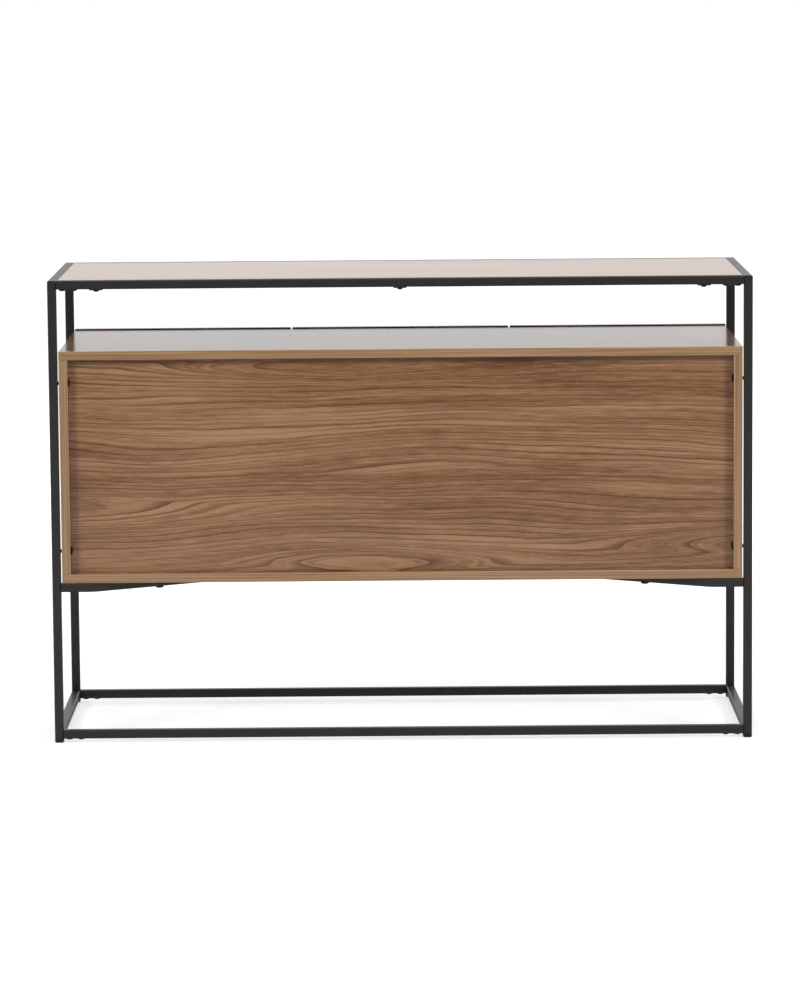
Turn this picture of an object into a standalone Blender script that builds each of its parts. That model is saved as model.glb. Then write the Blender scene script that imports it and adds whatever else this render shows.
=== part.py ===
# Sideboard: a walnut cabinet with three doors, hung in a frame of square steel tube.
# Metres, +Z up. The origin is on the floor under the middle of the frame. The doors face -Y,
# the back with its recessed panel faces +Y, and left and right are seen from the front.

import math

import bmesh
import bpy
from mathutils import Matrix, Vector

# Steel frame
WIDTH = 1.200
DEPTH = 0.420
FRAME_HEIGHT = 0.790
TUBE = 0.015
TUBE_WALL = 0.0012
TUBE_CORNER = 0.0018

# Plastic glides under the legs
FOOT_HEIGHT = 0.007
FOOT_EASING = 0.0015
FOOT_PLUG = 0.014

# Spigots that the long rails slide over, and the two screws from below at each rail end
SPIGOT_LENGTH = 0.055
SPIGOT_WALL = 0.0015
SPIGOT_CORNER = 0.0012
WELD_DEPTH = 0.0006
RAIL_SCREW_FIRST = 0.010
RAIL_SCREW_PITCH = 0.020
RAIL_SCREW_HOLE = 0.0066
SPIGOT_TAPPING = 0.0050

# Tabs under the top long rails that the top panel is screwed down to
TAB_INSET = 0.082
TAB_WIDTH = 0.022
TAB_REACH = 0.020
TAB_THICKNESS = 0.002
TAB_HOLE = 0.0050

# Bent tube under each end of the cabinet, and the big screws through it
CRADLE_TOP = 0.2770
CRADLE_CORNER = 0.070
CRADLE_ANGLE = math.radians(30)
CRADLE_BEND = 0.030
CRADLE_NOSE_BEND = 0.035
CRADLE_SCREW_INSET = 0.180
CRADLE_SCREW_HEAD = 0.015
CRADLE_SCREW_HEAD_HEIGHT = 0.003
CRADLE_SCREW_GRIP = 0.010

# Boards
BOARD = 0.015
BOARD_ARRIS = 0.0006
TOP_END_GAP = 0.0015
TOP_SIDE_GAP = 0.0010

# Cabinet
CABINET_HEIGHT = 0.399
CABINET_SIDE_GAP = 0.002
CABINET_BACK_INSET = 0.001
BACK_RECESS = 0.020
BACK_THICKNESS = 0.003
GROOVE_DEPTH = 0.005

# Doors
DOOR_THICKNESS = 0.015
DOOR_BACK_GAP = 0.002
DOOR_SEAM = 0.003
DOOR_RISE = 0.002
DOOR_BOTTOM_GAP = 0.002

# Shelves on pegs
SHELF_THICKNESS = 0.015
SHELF_END_GAP = 0.0008
SHELF_BACK_GAP = 0.004
SHELF_FRONT_SETBACK = 0.020
SHELF_RISE = 0.175
PEG_DIAMETER = 0.005
PEG_REACH = 0.008
PEG_SETBACK = 0.050
PEG_STEP = 0.032

# Cup hinges
HINGE_INSET = 0.075
CUP_EDGE = 0.004
CUP_DIAMETER = 0.035
CUP_DEPTH = 0.0108
CUP_WALL = 0.0012
CUP_FLANGE = 0.0008
CUP_LIP = 0.0018
CUP_EAR_LENGTH = 0.062
CUP_EAR_WIDTH = 0.013
CUP_EAR_OFFSET = 0.0055
CUP_EAR_STEP = 0.0001
ARM_NOSE_NEAR = 0.0168
ARM_NOSE_FAR = 0.0282
ARM_NOSE_CLEARANCE = 0.0018
ARM_WIDTH = 0.014
ARM_WALL = 0.0012
ARM_LENGTH = 0.062
PLATE_SETBACK = 0.024
PLATE_LENGTH = 0.036
PLATE_SPAN = 0.050
PLATE_WING = 0.014
PLATE_THICKNESS = 0.002

# Touch latches under the cabinet top
LATCH_INSET = 0.055
LATCH_LENGTH = 0.062
LATCH_WIDTH = 0.016
LATCH_HEIGHT = 0.015
LATCH_EAR_SPAN = 0.036
LATCH_EAR_LENGTH = 0.014
LATCH_EAR_THICKNESS = 0.003
LATCH_EAR_SETBACK = 0.012
LATCH_SCREW_HOLE = 0.0036
PLUNGER_DIAMETER = 0.0088
PLUNGER_LENGTH = 0.034
PLUNGER_TRAVEL = 0.003
PLUNGER_CLEARANCE = 0.0004
SPRING_ROOM = 0.009

# Bolts from the cabinet sides into the back legs
BOLT_INSET = 0.055
BOLT_OFFSET = 0.001
BOLT_HEAD = 0.014
BOLT_HEAD_HEIGHT = 0.003
BOLT_SHANK = 0.006
BOLT_GRIP = 0.010

# Space between pieces that sit on each other, and the clearance round a screw
SEAT_GAP = 0.0003
SCREW_CLEARANCE = 0.0004

# How finely round shapes are divided
CORNER_POINTS = 2
BEND_STEPS = 4
NOSE_BEND_STEPS = 8
CUP_SIDES = 20
FASTENER_SIDES = 12
HOLE_SIDES = 8

# Places that follow from the sizes
HALF_WIDTH = WIDTH / 2
HALF_DEPTH = DEPTH / 2
FRAME_BOTTOM = FOOT_HEIGHT
FRAME_TOP = FRAME_BOTTOM + FRAME_HEIGHT
LEG_X = HALF_WIDTH - TUBE / 2
LEG_Y = HALF_DEPTH - TUBE / 2
LEG_FACE_X = HALF_WIDTH - TUBE
TOP_RAIL_Z = FRAME_TOP - TUBE / 2
BASE_RAIL_Z = FRAME_BOTTOM + TUBE / 2
MITRE_GAP = SEAT_GAP / math.sqrt(2)
SPIGOT = TUBE - 2 * TUBE_WALL - 2 * SEAT_GAP
CRADLE_Z = CRADLE_TOP - TUBE / 2

CABINET_BOTTOM = CRADLE_TOP + SEAT_GAP
CABINET_TOP = CABINET_BOTTOM + CABINET_HEIGHT
CABINET_HALF = LEG_FACE_X - CABINET_SIDE_GAP
CABINET_BACK = HALF_DEPTH - CABINET_BACK_INSET
DOOR_FRONT = -HALF_DEPTH
DOOR_BACK = DOOR_FRONT + DOOR_THICKNESS
CABINET_FRONT = DOOR_BACK + DOOR_BACK_GAP
INSIDE_HALF = CABINET_HALF - BOARD
INSIDE_BOTTOM = CABINET_BOTTOM + BOARD
INSIDE_TOP = CABINET_TOP - BOARD
BACK_REAR = CABINET_BACK - BACK_RECESS
BACK_FRONT = BACK_REAR - BACK_THICKNESS

DOOR_WIDTH = (2 * CABINET_HALF - 2 * DOOR_SEAM) / 3
DOOR_LOW = CABINET_BOTTOM + DOOR_BOTTOM_GAP
DOOR_HIGH = CABINET_TOP + DOOR_RISE
SEAM_X = DOOR_WIDTH / 2 + DOOR_SEAM / 2
SHELF_LOW = INSIDE_BOTTOM + SHELF_RISE
PEG_Z = SHELF_LOW - SEAT_GAP - PEG_DIAMETER / 2
PEG_YS = (CABINET_FRONT + PEG_SETBACK, BACK_FRONT - PEG_SETBACK)
BOLT_Y = LEG_Y - BOLT_OFFSET
BOLT_ZS = (CABINET_BOTTOM + BOLT_INSET, CABINET_TOP - BOLT_INSET)
HINGE_ZS = (DOOR_LOW + HINGE_INSET, DOOR_HIGH - HINGE_INSET)
CUP_CENTRE = CUP_EDGE + CUP_DIAMETER / 2
SCREW_HOLE = BOLT_SHANK + 2 * SCREW_CLEARANCE
LATCH_BORE = PLUNGER_DIAMETER + 2 * PLUNGER_CLEARANCE


def make_material(name, colour, roughness, metallic):
    """A plain Principled material in linear colour."""
    material = bpy.data.materials.new(name)
    material.use_nodes = True
    shader = material.node_tree.nodes["Principled BSDF"]
    shader.inputs["Base Color"].default_value = (*colour, 1.0)
    shader.inputs["Roughness"].default_value = roughness
    shader.inputs["Metallic"].default_value = metallic
    return material


def make_object(name, mesh_builder, material):
    """Turn a bmesh in world places into an object, with every face pointing out."""
    mesh_builder.normal_update()
    bmesh.ops.recalc_face_normals(mesh_builder, faces=mesh_builder.faces)
    mesh = bpy.data.meshes.new(name)
    mesh_builder.to_mesh(mesh)
    mesh_builder.free()
    mesh.materials.append(material)
    item = bpy.data.objects.new(name, mesh)
    bpy.context.collection.objects.link(item)
    return item


def set_origin(item, origin, parent=None):
    """Move an object's origin to a world point, under a parent empty where one is given."""
    item.data.transform(Matrix.Translation(-Vector(origin)))
    item.location = Vector(origin)
    if parent is not None:
        item.parent = parent
        item.location = Vector(origin) - parent.location


def round_shading(item):
    """Smooth the round faces and keep the edges sharp."""
    item.data.shade_smooth()
    item.data.set_sharp_from_angle(angle=math.radians(35))


def boolean(body, tool, operation):
    """Join the tool to the body or cut it away, and drop the tool."""
    modifier = body.modifiers.new("step", "BOOLEAN")
    modifier.operation = operation
    modifier.solver = "EXACT"
    modifier.object = tool
    bpy.context.view_layer.update()
    evaluated = body.evaluated_get(bpy.context.evaluated_depsgraph_get())
    result = bpy.data.meshes.new_from_object(evaluated)
    result.name = body.name
    body.modifiers.remove(modifier)
    body.data = result
    bpy.data.objects.remove(tool)


def box_shape(low, high, easing=0.0):
    """A box between two corners, its edges eased by a small chamfer."""
    shape = bmesh.new()
    bmesh.ops.create_cube(shape, size=1.0)
    low = Vector(low)
    high = Vector(high)
    size = high - low
    bmesh.ops.scale(shape, vec=size, verts=shape.verts)
    bmesh.ops.translate(shape, vec=(low + high) / 2, verts=shape.verts)
    if easing > 0:
        bmesh.ops.bevel(shape, geom=shape.edges[:], offset=easing, segments=1, affect="EDGES")
    return shape


def square_section(size, radius):
    """Points round a square with rounded corners, anticlockwise."""
    half = size / 2 - radius
    points = []
    for across, along, first in ((1, 1, 0), (-1, 1, 90), (-1, -1, 180), (1, -1, 270)):
        for step in range(CORNER_POINTS):
            turn = math.radians(first + 90 * step / (CORNER_POINTS - 1))
            x = across * half + radius * math.cos(turn)
            y = along * half + radius * math.sin(turn)
            points.append((x, y))
    return points


def swept_shape(path, sections, up, start_cut=None, end_cut=None):
    """Sweep square sections along a path whose bends lie square to up.

    The first section is the outside and an optional second one the bore. Each ring lies in the
    plane that halves the bend, and start_cut and end_cut are the normals of mitred ends.
    """
    up = Vector(up)
    points = [Vector(point) for point in path]
    shape = bmesh.new()
    rings = []
    for index, point in enumerate(points):
        arriving = (point - points[max(index - 1, 0)]).normalized()
        leaving = (points[min(index + 1, len(points) - 1)] - point).normalized()
        if index == 0:
            direction = leaving
            normal = Vector(start_cut) if start_cut else leaving
        elif index == len(points) - 1:
            direction = arriving
            normal = Vector(end_cut) if end_cut else arriving
        else:
            direction = arriving
            normal = arriving + leaving
        side = direction.cross(up)
        ring = []
        for section in sections:
            loop = []
            for across, along in section:
                offset = side * across + up * along
                slide = -offset.dot(normal) / direction.dot(normal)
                loop.append(shape.verts.new(point + offset + direction * slide))
            ring.append(loop)
        rings.append(ring)
    count = len(sections[0])
    for first, second in zip(rings[:-1], rings[1:]):
        for one, two in zip(first, second):
            for index in range(count):
                after = (index + 1) % count
                shape.faces.new((one[index], one[after], two[after], two[index]))
    for ring in (rings[0], rings[-1]):
        if len(sections) == 1:
            shape.faces.new(ring[0])
            continue
        for index in range(count):
            after = (index + 1) % count
            shape.faces.new((ring[0][index], ring[0][after], ring[1][after], ring[1][index]))
    return shape


def turned_shape(profile, sides, start, direction):
    """Turn a profile of (distance along the axis, radius) pairs round an axis."""
    direction = Vector(direction).normalized()
    shape = bmesh.new()
    loops = []
    for along, radius in profile:
        if radius == 0:
            loops.append([shape.verts.new((0, 0, along))])
            continue
        loop = []
        for index in range(sides):
            turn = 2 * math.pi * index / sides
            x = radius * math.cos(turn)
            y = radius * math.sin(turn)
            loop.append(shape.verts.new((x, y, along)))
        loops.append(loop)
    for one, two in zip(loops[:-1], loops[1:]):
        for index in range(sides):
            after = (index + 1) % sides
            if len(one) == 1:
                shape.faces.new((one[0], two[after], two[index]))
            elif len(two) == 1:
                shape.faces.new((one[index], one[after], two[0]))
            else:
                shape.faces.new((one[index], one[after], two[after], two[index]))
    turn = Vector((0, 0, 1)).rotation_difference(direction).to_matrix().to_4x4()
    bmesh.ops.transform(shape, matrix=Matrix.Translation(start) @ turn, verts=shape.verts)
    return shape


def rod_shape(start, end, diameter, sides=HOLE_SIDES):
    """A plain round rod between two points."""
    length = (Vector(end) - Vector(start)).length
    profile = ((0, 0), (0, diameter / 2), (length, diameter / 2), (length, 0))
    return turned_shape(profile, sides, Vector(start), Vector(end) - Vector(start))


def merged(shapes):
    """Several shapes that stay apart in one mesh, for cutting holes in one step."""
    whole = bmesh.new()
    for shape in shapes:
        copy = bpy.data.meshes.new("piece")
        shape.normal_update()
        bmesh.ops.recalc_face_normals(shape, faces=shape.faces)
        shape.to_mesh(copy)
        shape.free()
        whole.from_mesh(copy)
        bpy.data.meshes.remove(copy)
    return whole


def prism_shape(outline, start, end):
    """Extrude a closed outline from one point to another; its points are offsets from them."""
    shape = bmesh.new()
    ends = []
    for place in (Vector(start), Vector(end)):
        ends.append([shape.verts.new(place + Vector(offset)) for offset in outline])
    count = len(outline)
    for index in range(count):
        after = (index + 1) % count
        shape.faces.new((ends[0][index], ends[0][after], ends[1][after], ends[1][index]))
    shape.faces.new(ends[0])
    shape.faces.new(ends[1])
    return shape


def bent_path(corners, bends):
    """A path through corners, each inner one rounded by an arc of (radius, steps)."""
    corners = [Vector(corner) for corner in corners]
    path = [corners[0]]
    for index in range(1, len(corners) - 1):
        here = corners[index]
        back = (corners[index - 1] - here).normalized()
        on = (corners[index + 1] - here).normalized()
        half_angle = back.angle(on) / 2
        radius, steps = bends[index - 1]
        centre = here + (back + on).normalized() * radius / math.sin(half_angle)
        start = here + back * radius / math.tan(half_angle)
        end = here + on * radius / math.tan(half_angle)
        axis = (start - centre).cross(end - centre).normalized()
        sweep = (start - centre).angle(end - centre)
        for step in range(steps + 1):
            turn = Matrix.Rotation(sweep * step / steps, 3, axis)
            path.append(centre + turn @ (start - centre))
    path.append(corners[-1])
    return path


def tube_sections():
    """The outside and the bore of the frame's square tube."""
    bore_corner = max(TUBE_CORNER - TUBE_WALL, SEAT_GAP)
    outside = square_section(TUBE, TUBE_CORNER)
    bore = square_section(TUBE - 2 * TUBE_WALL, bore_corner)
    return outside, bore


def rail_screw_xs(side):
    """Where the two screws at one end of a long rail go in."""
    first = LEG_FACE_X - RAIL_SCREW_FIRST
    return side * first, side * (first - RAIL_SCREW_PITCH)


def spigot_shape(side, y, z):
    """A short tube that stands out of a leg, for a long rail to slide over."""
    corner = min(SPIGOT_CORNER, SPIGOT / 4)
    outside = square_section(SPIGOT, corner)
    bore = square_section(SPIGOT - 2 * SPIGOT_WALL, corner / 2)
    start = (side * (LEG_FACE_X + WELD_DEPTH), y, z)
    end = (side * (LEG_FACE_X - SPIGOT_LENGTH), y, z)
    return swept_shape((start, end), (outside, bore), (0, 0, 1))


def add_leg(name, side, end, steel):
    """A leg, mitred into the side rail above it, with a spigot at each long rail."""
    x = side * LEG_X
    y = end * LEG_Y
    mitre = Vector((0, -end, 1)).normalized()
    path = ((x, y, FRAME_BOTTOM), (x, y, TOP_RAIL_Z - MITRE_GAP))
    leg = make_object(name, swept_shape(path, tube_sections(), (0, 1, 0), end_cut=mitre), steel)

    top_spigot = make_object("top_spigot", spigot_shape(side, y, TOP_RAIL_Z), steel)
    relief = box_shape((-SEAT_GAP, -TUBE, 0), (2 * WELD_DEPTH, TUBE, TUBE))
    tilt = Vector((0, 0, 1)).rotation_difference(mitre).to_matrix().to_4x4()
    bmesh.ops.scale(relief, vec=(side, 1, 1), verts=relief.verts)
    place = Vector((side * LEG_FACE_X, y, TOP_RAIL_Z)) - mitre * SEAT_GAP
    bmesh.ops.transform(relief, matrix=Matrix.Translation(place) @ tilt, verts=relief.verts)
    boolean(top_spigot, make_object("relief", relief, steel), "DIFFERENCE")
    boolean(leg, top_spigot, "UNION")
    base_spigot = make_object("base_spigot", spigot_shape(side, y, BASE_RAIL_Z), steel)
    boolean(leg, base_spigot, "UNION")

    holes = []
    for rail_z in (TOP_RAIL_Z, BASE_RAIL_Z):
        for hole_x in rail_screw_xs(side):
            holes.append(rod_shape((hole_x, y, rail_z - TUBE), (hole_x, y, rail_z), SPIGOT_TAPPING))
    if end > 0:
        for z in BOLT_ZS:
            wall = side * (LEG_FACE_X - TUBE)
            holes.append(rod_shape((wall, BOLT_Y, z), (x, BOLT_Y, z), SCREW_HOLE))
    boolean(leg, make_object("holes", merged(holes), steel), "DIFFERENCE")
    set_origin(leg, (x, y, FRAME_BOTTOM))
    round_shading(leg)


def add_foot(name, side, end, plastic):
    """A glide: a square pad under the leg and a plug pressed up into its bore."""
    plug = TUBE - 2 * TUBE_WALL - 2 * SEAT_GAP
    pad_top = FOOT_HEIGHT - SEAT_GAP
    plug_top = FOOT_HEIGHT + FOOT_PLUG
    levels = (
        (0, TUBE - 2 * FOOT_EASING),
        (FOOT_EASING, TUBE),
        (pad_top, TUBE),
        (pad_top, plug),
        (plug_top - FOOT_EASING, plug),
        (plug_top, plug - 2 * FOOT_EASING),
    )
    shape = bmesh.new()
    loops = []
    for z, size in levels:
        corner = min(TUBE_CORNER, size / 4)
        places = [(x, y, z) for x, y in square_section(size, corner)]
        loops.append([shape.verts.new(place) for place in places])
    count = len(loops[0])
    for one, two in zip(loops[:-1], loops[1:]):
        for index in range(count):
            after = (index + 1) % count
            shape.faces.new((one[index], one[after], two[after], two[index]))
    shape.faces.new(loops[0])
    shape.faces.new(loops[-1])
    place = Vector((side * LEG_X, end * LEG_Y, 0))
    bmesh.ops.translate(shape, vec=place, verts=shape.verts)
    foot = make_object(name, shape, plastic)
    set_origin(foot, place)


def add_side_rails(name_end, side, steel):
    """The mitred rail over a pair of legs, and the base rail that butts between them."""
    x = side * LEG_X
    back_mitre = Vector((0, -1, 1)).normalized()
    front_mitre = Vector((0, -1, -1)).normalized()
    path = ((x, LEG_Y - MITRE_GAP, TOP_RAIL_Z), (x, MITRE_GAP - LEG_Y, TOP_RAIL_Z))
    shape = swept_shape(path, tube_sections(), (0, 0, 1), back_mitre, front_mitre)
    top = make_object("top_side_rail_" + name_end, shape, steel)
    set_origin(top, (x, 0, TOP_RAIL_Z))
    round_shading(top)

    reach = HALF_DEPTH - TUBE - SEAT_GAP
    path = ((x, reach, BASE_RAIL_Z), (x, -reach, BASE_RAIL_Z))
    base = make_object("base_side_rail_" + name_end, swept_shape(path, tube_sections(), (0, 0, 1)), steel)
    set_origin(base, (x, 0, BASE_RAIL_Z))
    round_shading(base)


def add_long_rail(name, end, z, has_tabs, steel):
    """A rail that slides over the spigots of two legs; the top ones carry the panel's tabs."""
    y = end * LEG_Y
    reach = LEG_FACE_X - SEAT_GAP
    path = ((-reach, y, z), (reach, y, z))
    rail = make_object(name, swept_shape(path, tube_sections(), (0, 0, 1)), steel)
    holes = []
    for side in (-1, 1):
        for hole_x in rail_screw_xs(side):
            holes.append(rod_shape((hole_x, y, z - TUBE), (hole_x, y, z), RAIL_SCREW_HOLE))
    if has_tabs:
        weld = WELD_DEPTH
        underside = -TUBE / 2
        tab_low = underside - SEAT_GAP - TAB_THICKNESS
        inner = -end * TUBE / 2
        tip = -end * (TUBE / 2 + TAB_REACH)
        outline = (
            (0, inner + end * TUBE / 2, tab_low),
            (0, tip, tab_low),
            (0, tip, underside - SEAT_GAP),
            (0, inner, underside - SEAT_GAP),
            (0, inner + end * TUBE_CORNER, underside + weld),
            (0, inner + end * TUBE / 2, underside + weld),
        )
        for centre in (-(HALF_WIDTH - TAB_INSET), 0, HALF_WIDTH - TAB_INSET):
            start = (centre - TAB_WIDTH / 2, y, z)
            finish = (centre + TAB_WIDTH / 2, y, z)
            boolean(rail, make_object("tab", prism_shape(outline, start, finish), steel), "UNION")
            hole_y = y - end * (TUBE / 2 + TAB_REACH / 2)
            low = (centre, hole_y, z - 2 * TUBE)
            holes.append(rod_shape(low, (centre, hole_y, z), TAB_HOLE))
    boolean(rail, make_object("holes", merged(holes), steel), "DIFFERENCE")
    set_origin(rail, (0, y, z))
    round_shading(rail)


def cradle_screw_places(side):
    """The two screw points on the slanting runs of a cradle, one behind and one in front."""
    x = HALF_WIDTH - CRADLE_SCREW_INSET
    run = HALF_WIDTH - CRADLE_CORNER - x
    y = LEG_Y - run * math.tan(CRADLE_ANGLE)
    return (side * x, y), (side * x, -y)


def add_cradle(name_end, side, steel):
    """One bent tube from back leg to front leg that the cabinet's end stands on."""
    corner_x = side * (HALF_WIDTH - CRADLE_CORNER)
    nose_x = side * (HALF_WIDTH - CRADLE_CORNER - LEG_Y / math.tan(CRADLE_ANGLE))
    leg_x = side * (LEG_FACE_X - SEAT_GAP)
    corners = (
        (leg_x, LEG_Y, CRADLE_Z),
        (corner_x, LEG_Y, CRADLE_Z),
        (nose_x, 0, CRADLE_Z),
        (corner_x, -LEG_Y, CRADLE_Z),
        (leg_x, -LEG_Y, CRADLE_Z),
    )
    leg_bend = (CRADLE_BEND, BEND_STEPS)
    path = bent_path(corners, (leg_bend, (CRADLE_NOSE_BEND, NOSE_BEND_STEPS), leg_bend))
    cradle = make_object("cradle_" + name_end, swept_shape(path, tube_sections(), (0, 0, 1)), steel)
    holes = []
    for x, y in cradle_screw_places(side):
        holes.append(rod_shape((x, y, CRADLE_Z - TUBE), (x, y, CRADLE_Z + TUBE), SCREW_HOLE))
    boolean(cradle, make_object("holes", merged(holes), steel), "DIFFERENCE")
    set_origin(cradle, (side * HALF_WIDTH, 0, CRADLE_Z))
    round_shading(cradle)


def add_fastener(name, head_face, direction, head, head_height, shank_length, steel):
    """A button-headed bolt whose head rests SEAT_GAP off the face it pulls on."""
    direction = Vector(direction)
    start = Vector(head_face) - direction * (SEAT_GAP + head_height)
    hex_width = BOLT_SHANK * 0.6
    profile = (
        (head_height * 0.5, 0),
        (head_height * 0.5, hex_width / 2),
        (0, hex_width / 2),
        (0, head * 0.30),
        (head_height * 0.35, head * 0.45),
        (head_height * 0.80, head / 2),
        (head_height, head / 2),
        (head_height, BOLT_SHANK / 2),
        (head_height + SEAT_GAP + shank_length, BOLT_SHANK / 2),
        (head_height + SEAT_GAP + shank_length, 0),
    )
    bolt = make_object(name, turned_shape(profile, FASTENER_SIDES, start, direction), steel)
    set_origin(bolt, head_face)
    round_shading(bolt)


def board(name, low, high, wood, cutters=()):
    """A laminated board with eased edges, its grooves and holes cut out."""
    item = make_object(name, box_shape(low, high, BOARD_ARRIS), wood)
    for cutter in cutters:
        boolean(item, make_object("cutter", cutter, wood), "DIFFERENCE")
    return item


def back_panel_corners(clearance):
    """The corners of the back panel as it sits in its grooves, grown by a clearance."""
    side = INSIDE_HALF + GROOVE_DEPTH - SEAT_GAP + clearance
    low = (-side, BACK_FRONT - clearance, INSIDE_BOTTOM - GROOVE_DEPTH + SEAT_GAP - clearance)
    high = (side, BACK_REAR + clearance, INSIDE_TOP + GROOVE_DEPTH - SEAT_GAP + clearance)
    return low, high


def peg_hole_rods(x_from, x_to):
    """Rods for the spare peg holes, one step above and one below each peg."""
    rods = []
    for y in PEG_YS:
        for z in (PEG_Z - PEG_STEP, PEG_Z + PEG_STEP):
            rods.append(rod_shape((x_from, y, z), (x_to, y, z), PEG_DIAMETER))
    return rods


def add_pegs(item, face_x, side, steel):
    """Shelf pegs that stand out of a board's face towards side."""
    root = face_x - side * BOARD / 3
    for y in PEG_YS:
        peg = rod_shape((root, y, PEG_Z), (face_x + side * PEG_REACH, y, PEG_Z), PEG_DIAMETER)
        boolean(item, make_object("peg", peg, steel), "UNION")


def add_cabinet(wood, steel):
    """The five-board shell, its two dividers, the back panel and three shelves."""
    groove = back_panel_corners(SEAT_GAP)
    front = CABINET_FRONT
    rear = CABINET_BACK
    screws = []
    for side in (-1, 1):
        for x, y in cradle_screw_places(side):
            start = (x, y, CABINET_BOTTOM - BOARD)
            end = (x, y, CABINET_BOTTOM + CRADLE_SCREW_GRIP + SEAT_GAP)
            screws.append(rod_shape(start, end, SCREW_HOLE))
    low = (-CABINET_HALF, front, CABINET_BOTTOM)
    high = (CABINET_HALF, rear, INSIDE_BOTTOM)
    bottom = board("cabinet_bottom", low, high, wood, (box_shape(*groove), merged(screws)))
    set_origin(bottom, (0, 0, CABINET_BOTTOM))
    low = (-CABINET_HALF, front, INSIDE_TOP)
    high = (CABINET_HALF, rear, CABINET_TOP)
    top = board("cabinet_top", low, high, wood, (box_shape(*groove),))
    set_origin(top, (0, 0, CABINET_TOP))

    upright_low = INSIDE_BOTTOM + SEAT_GAP
    upright_high = INSIDE_TOP - SEAT_GAP
    for side, word in ((-1, "left"), (1, "right")):
        inner = side * INSIDE_HALF
        outer = side * CABINET_HALF
        low = (min(inner, outer), front, upright_low)
        high = (max(inner, outer), rear, upright_high)
        rods = peg_hole_rods(inner - side * BOARD, inner + side * BOARD * 2 / 3)
        for z in BOLT_ZS:
            start = (inner - side * BOARD, BOLT_Y, z)
            rods.append(rod_shape(start, (outer + side * BOARD, BOLT_Y, z), SCREW_HOLE))
        panel = board("cabinet_side_" + word, low, high, wood, (box_shape(*groove), merged(rods)))
        add_pegs(panel, inner, -side, steel)
        set_origin(panel, (outer, 0, CABINET_BOTTOM))

        centre = side * SEAM_X
        low = (centre - BOARD / 2, front, upright_low)
        high = (centre + BOARD / 2, BACK_FRONT - SEAT_GAP, upright_high)
        rods = peg_hole_rods(centre - BOARD, centre + BOARD)
        divider = board("divider_" + word, low, high, wood, (merged(rods),))
        add_pegs(divider, centre + BOARD / 2, 1, steel)
        add_pegs(divider, centre - BOARD / 2, -1, steel)
        set_origin(divider, (centre, 0, CABINET_BOTTOM))

    low, high = back_panel_corners(0)
    back = make_object("back_panel", box_shape(low, high), wood)
    set_origin(back, (0, BACK_REAR, CABINET_BOTTOM))

    inner_left = -SEAM_X + BOARD / 2
    bays = (
        ("shelf_left", -INSIDE_HALF, -SEAM_X - BOARD / 2),
        ("shelf_middle", inner_left, -inner_left),
        ("shelf_right", SEAM_X + BOARD / 2, INSIDE_HALF),
    )
    for name, start, end in bays:
        low = (start + SHELF_END_GAP, front + SHELF_FRONT_SETBACK, SHELF_LOW)
        high = (end - SHELF_END_GAP, BACK_FRONT - SHELF_BACK_GAP, SHELF_LOW + SHELF_THICKNESS)
        shelf = board(name, low, high, wood)
        set_origin(shelf, ((start + end) / 2, 0, SHELF_LOW))


def mapped(shape, corner_x, inward, z):
    """Move a hinge shape from its own axes, (into the door, back, up), to its door corner."""
    for vert in shape.verts:
        across, back, up = vert.co
        vert.co = Vector((corner_x + inward * across, DOOR_FRONT + back, z + up))
    return shape


def cup_shell(corner_x, inward, z, metal):
    """A pressed hinge cup with its flange and screw ears, let into the door's back."""
    flange_low = DOOR_THICKNESS + SEAT_GAP
    flange_high = flange_low + CUP_FLANGE
    radius = CUP_DIAMETER / 2
    bottom = DOOR_THICKNESS - CUP_DEPTH
    profile = (
        (bottom, 0),
        (bottom, radius - CUP_WALL),
        (bottom + CUP_WALL, radius),
        (flange_low, radius),
        (flange_low, radius + CUP_LIP),
        (flange_high, radius + CUP_LIP),
        (flange_high, radius - CUP_WALL),
        (bottom + CUP_WALL, radius - CUP_WALL),
        (bottom + CUP_WALL, 0),
    )
    centre = Vector((CUP_CENTRE, 0, 0))
    shell = turned_shape(profile, CUP_SIDES, centre, (0, 1, 0))
    cup = make_object("cup", mapped(shell, corner_x, inward, z), metal)

    ear_x = CUP_CENTRE + CUP_EAR_OFFSET
    half_length = CUP_EAR_LENGTH / 2
    half_width = CUP_EAR_WIDTH / 2
    outline = []
    for side in (1, -1):
        for step in range(7):
            turn = math.radians(30 * step) + (0 if side > 0 else math.pi)
            across = ear_x + half_width * math.cos(turn)
            up = side * (half_length - half_width) + half_width * math.sin(turn)
            outline.append((across, 0, up))
    ear_low = (0, flange_low + CUP_EAR_STEP, 0)
    ears = prism_shape(outline, ear_low, (0, flange_high - CUP_EAR_STEP, 0))
    ears = make_object("ears", mapped(ears, corner_x, inward, z), metal)
    mouth = rod_shape(centre, (CUP_CENTRE, 2 * DOOR_THICKNESS, 0), CUP_DIAMETER, CUP_SIDES)
    rods = [mouth]
    for side in (1, -1):
        up = side * (half_length - half_width)
        rods.append(rod_shape((ear_x, 0, up), (ear_x, 2 * DOOR_THICKNESS, up), TAB_HOLE))
    rods = mapped(merged(rods), corner_x, inward, z)
    boolean(ears, make_object("mouth", rods, metal), "DIFFERENCE")
    boolean(cup, ears, "UNION")
    return cup


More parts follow.
